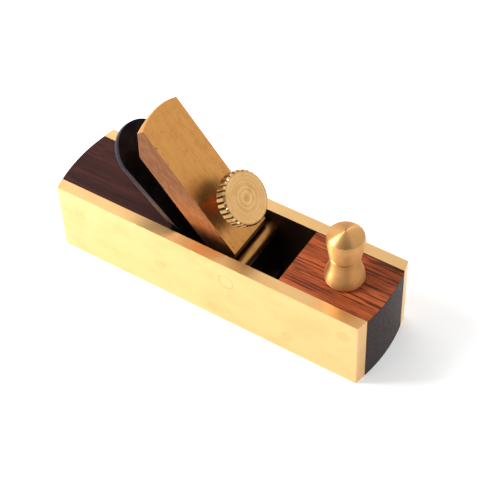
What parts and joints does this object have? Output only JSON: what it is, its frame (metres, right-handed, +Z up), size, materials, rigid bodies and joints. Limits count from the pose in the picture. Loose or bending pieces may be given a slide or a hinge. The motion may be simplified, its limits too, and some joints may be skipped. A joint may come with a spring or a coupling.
{
  "type": "hand plane",
  "caption": "Small brass-sided hand plane with wood body blocks, a bevel-down blade, a rocking brass lever cap clamped by a knurled thumbscrew, and a turned front knob.",
  "frame": {"origin": "centre of the sole, on the surface that the plane stands on", "axes": "+X to the toe (front knob), +Y to the left of the plane seen from behind, +Z up"},
  "size_m": [0.089, 0.024, 0.0496],
  "materials": {
    "plate_brass": "ground flat, bright, with fine lengthwise scratches",
    "rivet_brass": "ground flush with the plates",
    "cap_brass": "brushed lengthwise, lightly tarnished, small casting pits",
    "turned_brass": "turned and polished",
    "toe_rosewood": "oiled, orange red with dark streaks along the grain",
    "bed_rosewood": "oiled, dark red brown",
    "blued_steel": "blued almost black, ground bright at the bevel"
  },
  "bodies": {
    "root": {"right_side_plate": "plate_brass", "left_side_plate": "plate_brass", "toe_block": "toe_rosewood", "bed_block": "bed_rosewood", "toe_rivet_front": "rivet_brass", "toe_rivet_rear": "rivet_brass", "heel_rivet_rear": "rivet_brass", "heel_rivet_front": "rivet_brass", "mouth_rivet": "rivet_brass", "front_knob": "turned_brass", "knob_stud": "turned_brass"},
    "rocker": {"cross_rod": "turned_brass"},
    "cap": {"lever_cap": "cap_brass"},
    "screw": {"thumbscrew_shank": "turned_brass"},
    "screw_head": {"thumbscrew_head": "turned_brass"},
    "iron": {"blade": "blued_steel"}
  },
  "joints": [
    {"name": "cap_rock", "type": "hinge", "parent": "root", "child": "rocker", "pos_m": [0.0069, 0, 0.0152], "axis": [0, -1, 0], "range_deg": [0, 6.1]},
    {"name": "cap_lift", "type": "slide", "parent": "rocker", "child": "cap", "axis": [-0.6428, 0, 0.766], "range_m": [0, 0.045]},
    {"name": "thumbscrew_advance", "type": "slide", "parent": "cap", "child": "screw", "axis": [0.766, 0, 0.6428], "range_m": [0, 0.00176]},
    {"name": "thumbscrew_turn", "type": "hinge", "parent": "screw", "child": "screw_head", "pos_m": [-0.00044, 0, 0.02789], "axis": [0.766, 0, 0.6428], "range_deg": [0, 900]},
    {"name": "blade_slide", "type": "slide", "parent": "root", "child": "iron", "axis": [-0.7254, 0, 0.6884], "range_m": [-0.0006, 0.045]}
  ],
  "couplings": [
    {"joint": "thumbscrew_advance", "follows": "thumbscrew_turn", "m_per_rad": 0.00011141},
    {"joint": "cap_rock", "follows": "thumbscrew_turn", "ratio": 0.0066667}
  ]
}
